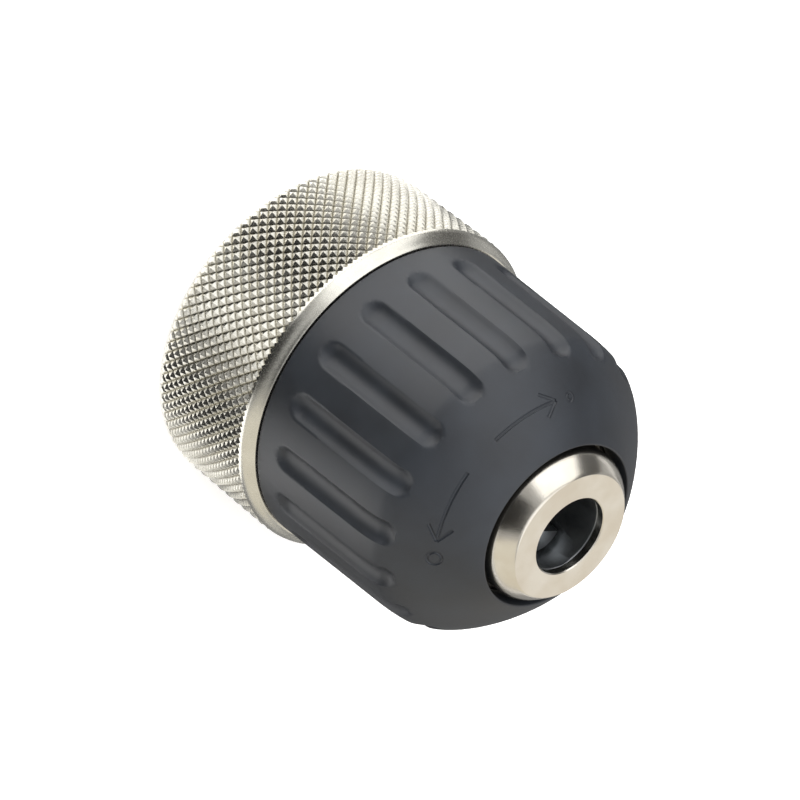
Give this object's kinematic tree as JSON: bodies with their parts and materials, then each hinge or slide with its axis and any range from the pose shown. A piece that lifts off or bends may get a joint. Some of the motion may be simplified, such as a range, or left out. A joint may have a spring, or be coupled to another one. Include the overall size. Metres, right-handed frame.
{
  "type": "drill chuck",
  "caption": "Keyless drill chuck with a knurled metal rear sleeve, a fluted black front sleeve and self-centring jaws driven by a split nut on a ball thrust race.",
  "frame": {"origin": "centre of the hub's rear face, where the spindle's shoulder seats, on the chuck's axis", "axes": "+Z along the chuck's axis from the spindle side to the nose; +X and +Y square to it"},
  "size_m": [0.044, 0.044, 0.0514],
  "materials": {
    "machined_steel": "turned steel, lightly oiled",
    "nickel_plate": "satin nickel plate over knurled steel",
    "bright_nickel": "bright nickel plate",
    "black_polymer": "moulded black glass-filled nylon, fine satin texture",
    "hardened_steel": "ground, hardened and blued steel",
    "bearing_steel": "polished bearing steel"
  },
  "bodies": {
    "body": {"body": "machined_steel", "rear_sleeve": "nickel_plate", "nosepiece": "bright_nickel", "body_race": "bearing_steel"},
    "grip": {"front_sleeve": "black_polymer", "nut_half_1": "hardened_steel", "nut_half_2": "hardened_steel", "nut_band": "machined_steel", "nut_washer": "bearing_steel"},
    "bearing": {"bearing_cage": "machined_steel", "bearing_ball_01": "bearing_steel", "bearing_ball_02": "bearing_steel", "bearing_ball_03": "bearing_steel", "bearing_ball_04": "bearing_steel", "bearing_ball_05": "bearing_steel", "bearing_ball_06": "bearing_steel", "bearing_ball_07": "bearing_steel", "bearing_ball_08": "bearing_steel", "bearing_ball_09": "bearing_steel", "bearing_ball_10": "bearing_steel", "bearing_ball_11": "bearing_steel", "bearing_ball_12": "bearing_steel", "bearing_ball_13": "bearing_steel", "bearing_ball_14": "bearing_steel", "bearing_ball_15": "bearing_steel", "bearing_ball_16": "bearing_steel", "bearing_ball_17": "bearing_steel", "bearing_ball_18": "bearing_steel"},
    "jaw_1": {"jaw_1": "hardened_steel"},
    "jaw_2": {"jaw_2": "hardened_steel"},
    "jaw_3": {"jaw_3": "hardened_steel"}
  },
  "joints": [
    {"name": "sleeve_turn", "type": "hinge", "parent": "body", "child": "grip", "pos_m": [0, 0, 0.03], "axis": [0, 0, -1], "range_deg": [-1520, 1590]},
    {"name": "bearing_turn", "type": "hinge", "parent": "body", "child": "bearing", "pos_m": [0, 0, 0.0197], "axis": [0, 0, -1], "range_deg": [-765, 800]},
    {"name": "jaw_1_slide", "type": "slide", "parent": "body", "child": "jaw_1", "axis": [-0.162, -0.223, 0.9613], "range_m": [-0.00896, 0.00937]},
    {"name": "jaw_2_slide", "type": "slide", "parent": "body", "child": "jaw_2", "axis": [0.2741, -0.0288, 0.9613], "range_m": [-0.00896, 0.00937]},
    {"name": "jaw_3_slide", "type": "slide", "parent": "body", "child": "jaw_3", "axis": [-0.1121, 0.2518, 0.9613], "range_m": [-0.00896, 0.00937]}
  ],
  "couplings": [
    {"joint": "bearing_turn", "follows": "sleeve_turn", "ratio": 0.5},
    {"joint": "jaw_1_slide", "follows": "sleeve_turn", "m_per_rad": 0.00033693},
    {"joint": "jaw_2_slide", "follows": "sleeve_turn", "m_per_rad": 0.00033693},
    {"joint": "jaw_3_slide", "follows": "sleeve_turn", "m_per_rad": 0.00033693}
  ]
}
